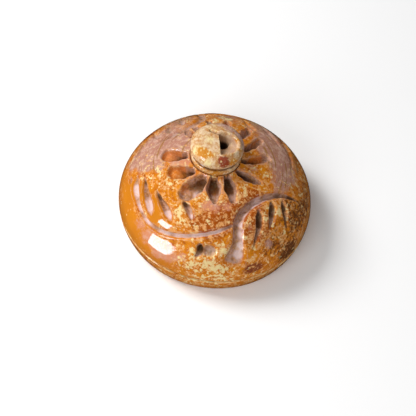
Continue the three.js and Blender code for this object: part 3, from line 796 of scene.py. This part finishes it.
def mottled_stone(name):
    """Polished stone: amber ground, orange and peach mottling, mauve and dark washes, cream specks;
    with painted reflections in the mauve and blush washes, painted highlights along the cuts' edges
    and the seam, and painted shade in the cuts.
    """
    s = Shader(name)
    names = (*ZONES, "carve", "edge", "lip", "streak")
    zone = {key: s.attribute(key) for key in names}
    busy = s.step(s.rough(zone["plain"], 1.0, 0.8, 1.0), 0.25, 0.75, 1.0, 0.0)

    def layer(colour, mask, tint, strength=1.0, within=busy):
        return s.mix(s.math("MULTIPLY", within, s.math("MULTIPLY", mask, strength)), colour, tint)

    colour = s.mix(s.step(s.noise(2.4, detail=4, roughness=0.6), 0.4, 0.65, 0.0, 0.5), AMBER, ORANGE)
    colour = s.mix(s.math("MULTIPLY", zone["plain"], 0.8), colour, DEEP_AMBER)
    veins = s.step(s.noise(0.55, detail=6, roughness=0.72, distortion=0.7), 0.47, 0.58)
    colour = layer(colour, veins, ORANGE, 0.85)
    dark_veins = s.step(s.noise(0.5, detail=5, roughness=0.7, distortion=0.7, offset=1.0), 0.55, 0.63)
    colour = layer(colour, dark_veins, RUST, 0.75)
    rust = s.step(s.rough(zone["red"], 0.45, 1.9, 3.0), 0.25, 0.8)
    colour = layer(colour, rust, RUST, 0.85, 1.0)
    peach = s.step(s.noise(0.7, detail=6, roughness=0.72, distortion=0.4, offset=2.0), 0.5, 0.6)
    colour = layer(colour, peach, PEACH, 0.85)
    brown = s.step(s.rough(zone["dark"], 0.5, 2.6, 7.0), 0.45, 0.95)
    colour = layer(colour, brown, BROWN, 0.9, 1.0)
    maroon = s.step(s.rough(zone["maroon"], 0.45, 1.8, 8.0), 0.4, 1.0)
    colour = layer(colour, maroon, MAROON, 0.85, 1.0)

    streaks = s.noise(0.5, detail=3, roughness=0.6, offset=6.0, stretched_by=zone["streak"])
    mauve = s.mix(s.step(s.noise(0.7, 6, 0.7, 0.5, 5.5), 0.45, 0.6), MAUVE, PALE_MAUVE)
    mauve = s.mix(s.step(streaks, 0.54, 0.62, 0.0, 0.75), mauve, OLIVE)
    # blush: painted reflection round the window's highlight, and a pink tint on the flower's ridges
    blush = s.step(s.rough(zone["blush"], 0.4, 1.8, 5.1), 0.3, 1.0)
    blush_tint = s.mix(s.step(s.noise(0.5, 3, offset=5.3), 0.44, 0.66, 0.0, 0.7), BLUSH, PALE_MAUVE)
    colour = layer(colour, blush, blush_tint, 0.85, 1.0)
    # mauve wash, partly the stone's colour and partly a painted reflection of the floor
    pink = s.step(s.rough(zone["pink"], 0.9, 1.3, 5.0), 0.25, 0.75)
    colour = layer(colour, pink, mauve, 0.85, 1.0)
    amber = s.step(s.rough(zone["amber"], 0.5, 1.2, 5.2), 0.35, 0.75)
    colour = layer(colour, amber, AMBER, 0.9, 1.0)

    calm = s.math("ADD", s.math("MULTIPLY", zone["plain"], 0.12), s.math("MULTIPLY", zone["pink"], 0.03))
    grains = s.math("MULTIPLY", s.noise(0.3, detail=1.5, offset=9.2), 0.45)
    specks = s.math("MULTIPLY", s.noise(0.62, detail=2, roughness=0.6, offset=9.0), 0.55)
    speck = s.math("SUBTRACT", s.math("ADD", grains, specks), calm)
    speck = s.math("ADD", speck, s.math("MULTIPLY", zone["pale"], 0.09))
    creamy = s.math("ADD", s.noise(0.8, 3, offset=9.5), s.math("MULTIPLY", zone["pale"], 0.12))
    rusty = s.math("ADD", zone["dark"], zone["red"])
    creamy = s.math("SUBTRACT", creamy, s.math("MULTIPLY", rusty, 0.08))
    speck_tint = s.mix(s.step(creamy, 0.44, 0.58), PEACH, CREAM)
    colour = layer(colour, s.step(speck, 0.52, 0.6), speck_tint, 0.85, 1.0)

    cut = s.step(zone["carve"], 0.12, 0.4)
    floor = s.mix(s.step(s.noise(0.9, 5, 0.65, offset=4.0), 0.38, 0.62), CUT_GREY, CUT_BROWN)
    floor = s.mix(s.step(s.rough(zone["ochre"], 0.8, 1.0, 4.5), 0.3, 0.7, 0.0, 0.9), floor, CUT_OCHRE)
    # pale floors: partly the cuts' own colour, partly painted light on floors facing the key light
    floor = s.mix(s.step(s.rough(zone["bare"], 0.8, 0.6, 4.8), 0.3, 0.8, 0.0, 0.9), floor, CUT_PALE)
    floor = s.mix(s.step(s.noise(0.26, 3, 0.6, offset=4.6), 0.5, 0.62, 0.0, 0.45), floor, PEACH)
    # painted shade: dark floors where the cuts lie in shadow
    floor = s.mix(s.step(s.rough(zone["recess_shade"], 0.5, 0.7, 4.7), 0.25, 0.8, 0.0, 0.85), floor, CUT_SHADE)
    # painted shade: darker still in the deepest parts of the cuts
    floor = s.mix(s.step(s.rough(zone["carve"], 0.8, 0.5, 4.2), 0.95, 1.45, 0.0, 0.85), floor, CUT_SHADE)
    colour = layer(colour, cut, floor, 0.85, 1.0)
    # painted highlight: pale peach and mauve along the edges of the cuts, where their lips catch the light
    edge_highlight = s.step(s.rough(zone["edge"], 0.45, 2.6, 1.5), 0.55, 1.25, 0.0, 0.55)
    edge_highlight_tint = s.mix(s.step(s.noise(0.8, 4, offset=1.7), 0.42, 0.58), PEACH, PALE_MAUVE)
    colour = layer(colour, edge_highlight, edge_highlight_tint, 1.0, 1.0)
    # painted highlight: cream along the lit edges of the seam
    lip = s.step(s.rough(zone["lip"], 0.9, 2.6, 1.9), 0.6, 1.2, 0.0, 0.6)
    colour = layer(colour, lip, CREAM, 1.0, 1.0)
    s.set(Base_Color=colour, Roughness=0.6, IOR=1.5, Specular_IOR_Level=0.08)
    coat = s.math("SUBTRACT", 1.0, s.math("MULTIPLY", cut, 0.85))
    s.set(Coat_Weight=coat, Coat_Roughness=0.05, Coat_IOR=1.5)
    s.bump(s.noise(0.4, 4, 0.6), 0.025, 0.42)
    return s.material


def knob_stone_material(name):
    """The dome's stone where it is palest: beige, with one amber patch, one red one and mauve sides, and
    painted shade in the crease and the deep hollow.
    """
    s = Shader(name)
    beige = s.mix(s.step(s.noise(0.8, 5, 0.7), 0.4, 0.6), paint("C4905C"), paint("E0C4A0"))
    beige = s.mix(s.step(s.noise(0.45, 3, 0.6, offset=1.0), 0.5, 0.62, 0.0, 0.7), beige, paint("BC7C3C"))
    colour = s.mix(s.step(s.rough(s.attribute("pale"), 0.4, 1.8, 3.0), 0.35, 0.85, 0.0, 0.9), beige, CREAM)
    mauve = s.mix(s.step(s.noise(0.35, 4, 0.6, offset=2.0), 0.42, 0.6), MAUVE, PALE_MAUVE)
    colour = s.mix(s.step(s.rough(s.attribute("pink"), 0.6, 1.4, 5.0), 0.3, 0.85, 0.0, 0.9), colour, mauve)
    for key, tint, offset in (("amber", "C67C0E", 6.0), ("red", "8C2A0C", 7.0)):
        patch = s.step(s.rough(s.attribute(key), 0.35, 1.9, offset), 0.4, 0.85, 0.0, 0.9)
        colour = s.mix(patch, colour, paint(tint))
    flecks = s.step(s.noise(0.28, 2, 0.5, offset=8.0), 0.58, 0.66, 0.0, 0.7)
    colour = s.mix(flecks, colour, CREAM)
    carve = s.attribute("carve")
    colour = s.mix(s.step(carve, 0.15, 0.9, 0.0, 0.6), colour, paint("B89A80"))
    # painted shade in the deepest parts of the knob's hollow and bore
    colour = s.mix(s.step(carve, 1.5, 2.2, 0.0, 0.95), colour, CUT_SHADE)
    # painted shade: brown in the crease under the ball
    colour = s.mix(s.step(s.rough(s.attribute("crease"), 0.6, 0.8, 9.0), 0.3, 0.8, 0.0, 0.85), colour, BROWN)
    s.set(Base_Color=colour, Roughness=0.6, IOR=1.5, Specular_IOR_Level=0.08)
    s.set(Coat_Weight=0.7, Coat_Roughness=0.07, Coat_IOR=1.5)
    s.bump(s.noise(0.4, 4, 0.6), 0.03, 0.6)
    return s.material


def resin_line(name):
    """Dark resin in the seam, mottled and slightly pitted."""
    s = Shader(name)
    colour = s.mix(s.step(s.noise(0.9, 4), 0.35, 0.65), paint("4A2C17"), paint("7A4A25"))
    s.set(Base_Color=colour, Roughness=0.6)
    s.bump(s.noise(0.3, 3), 0.03, 0.5)
    return s.material


def worn_brass(name):
    """Satin brass with darker stains, a few bright rubs and a fine bumpy texture."""
    s = Shader(name)
    stain = s.step(s.noise(1.8, 5, 0.6), 0.42, 0.66)
    colour = s.mix(stain, paint("C9A35A"), paint("8A6A34"))
    rubs = s.step(s.noise(0.5, 3, 0.6, offset=3.0), 0.62, 0.72)
    colour = s.mix(s.math("MULTIPLY", rubs, 0.5), colour, paint("E3C887"))
    s.set(Base_Color=colour, Metallic=0.7)
    s.set(Roughness=s.step(s.noise(0.7, 4), 0.3, 0.7, 0.24, 0.46))
    s.bump(s.noise(0.18, 3, 0.5), 0.01, 0.6)
    return s.material


# ---- camera, light and floor --------------------------------------------------------------------

VIEW_ELEVATION = 53.8
CAMERA_ROLL = 8.6
CAMERA_DISTANCE = 140.0
LENS = 83.0
SIT_RIGHT = 1.02  # the button sits this far right of and above the picture's middle
SIT_UP = 1.46


def look_from(elevation):
    """The camera's right, up and back directions before it is rolled."""
    e = math.radians(elevation)
    return Vector((1, 0, 0)), Vector((0, math.sin(e), math.cos(e))), Vector((0, -math.cos(e), math.sin(e)))


def add_camera():
    right, up, back = look_from(VIEW_ELEVATION)
    roll = math.radians(CAMERA_ROLL)
    right, up = (right * math.cos(roll) + up * math.sin(roll), up * math.cos(roll) - right * math.sin(roll))
    target = Vector((0, 0, GIRTH_HEIGHT)) - right * SIT_RIGHT - up * SIT_UP
    data = bpy.data.cameras.new("camera")
    data.lens = LENS
    data.sensor_width = 36
    data.clip_start = 0.005
    camera = bpy.data.objects.new("camera", data)
    turn = Matrix((right, up, back)).transposed().to_4x4()
    camera.matrix_world = Matrix.Translation((target + back * CAMERA_DISTANCE) * MM) @ turn
    bpy.context.scene.collection.objects.link(camera)
    bpy.context.scene.camera = camera


def add_area(name, azimuth, elevation, distance, width, height, power):
    """A rectangular light aimed at the button; distances in mm."""
    a, e = math.radians(azimuth), math.radians(elevation)
    away = Vector((math.sin(a) * math.cos(e), -math.cos(a) * math.cos(e), math.sin(e)))
    data = bpy.data.lights.new(name, "AREA")
    data.shape = "RECTANGLE"
    data.size, data.size_y = width * MM, height * MM
    data.energy = power
    light = bpy.data.objects.new(name, data)
    light.location = (Vector((0, 0, 6)) + away * distance) * MM
    light.rotation_mode = "QUATERNION"
    light.rotation_quaternion = away.to_track_quat("Z", "Y")
    light.visible_camera = False
    bpy.context.scene.collection.objects.link(light)
    return light


def add_light():
    world = bpy.data.worlds.new("studio")
    bpy.context.scene.world = world
    world.use_nodes = True
    background = world.node_tree.nodes["Background"]
    background.inputs["Color"].default_value = (1, 1, 1, 1)
    background.inputs["Strength"].default_value = 0.31
    world.cycles_visibility.glossy = False
    key = add_area("key", azimuth=-105, elevation=46, distance=300, width=130, height=130, power=0.77)
    fill = add_area("fill", azimuth=-25, elevation=32, distance=300, width=200, height=160, power=0.4)
    window = add_area("window", azimuth=-51, elevation=10, distance=200, width=54, height=92, power=0.30)
    window.data.color = (0.84, 0.88, 1.0)
    key.visible_glossy = False
    fill.visible_glossy = False
    window.visible_diffuse = False


def add_floor():
    """A plain pale sheet under the button."""
    mesh = bpy.data.meshes.new("floor")
    half = 0.6
    corners = [(-half, -half, 0), (half, -half, 0), (half, half, 0), (-half, half, 0)]
    mesh.from_pydata(corners, [], [(0, 1, 2, 3)])
    floor = bpy.data.objects.new("floor", mesh)
    bpy.context.scene.collection.objects.link(floor)
    material = bpy.data.materials.new("floor_paper")
    material.use_nodes = True
    bsdf = material.node_tree.nodes["Principled BSDF"]
    bsdf.inputs["Base Color"].default_value = (0.97, 0.97, 0.97, 1)
    bsdf.inputs["Roughness"].default_value = 0.9
    bsdf.inputs["Specular IOR Level"].default_value = 0.1
    mesh.materials.append(material)
    floor.visible_glossy = False


# ---- the button -------------------------------------------------------------------------------

dome_stone = mottled_stone("dome_stone")
knob_stone = knob_stone_material("knob_stone")
base_stone = mottled_stone("base_stone")
carved_dome(dome_stone)
centre_knob(knob_stone)
base_plate(base_stone)
seam_cement(resin_line("seam_resin"))
brass = worn_brass("worn_brass")
shank_wire(brass)
pressed_disc("shank_rosette_pressed", "shank_rosette", ROSETTE_RADIUS, RECESS_DEPTH - ROSETTE_THICKNESS,
             ROSETTE_THICKNESS, brass, petals=PETALS)
pressed_disc("clinch_washer", "inner_washer", WASHER_RADIUS, CEILING_Z, WASHER_THICKNESS, brass,
             petals=0)

add_camera()
add_light()
add_floor()
bpy.context.scene.view_settings.view_transform = "Standard"
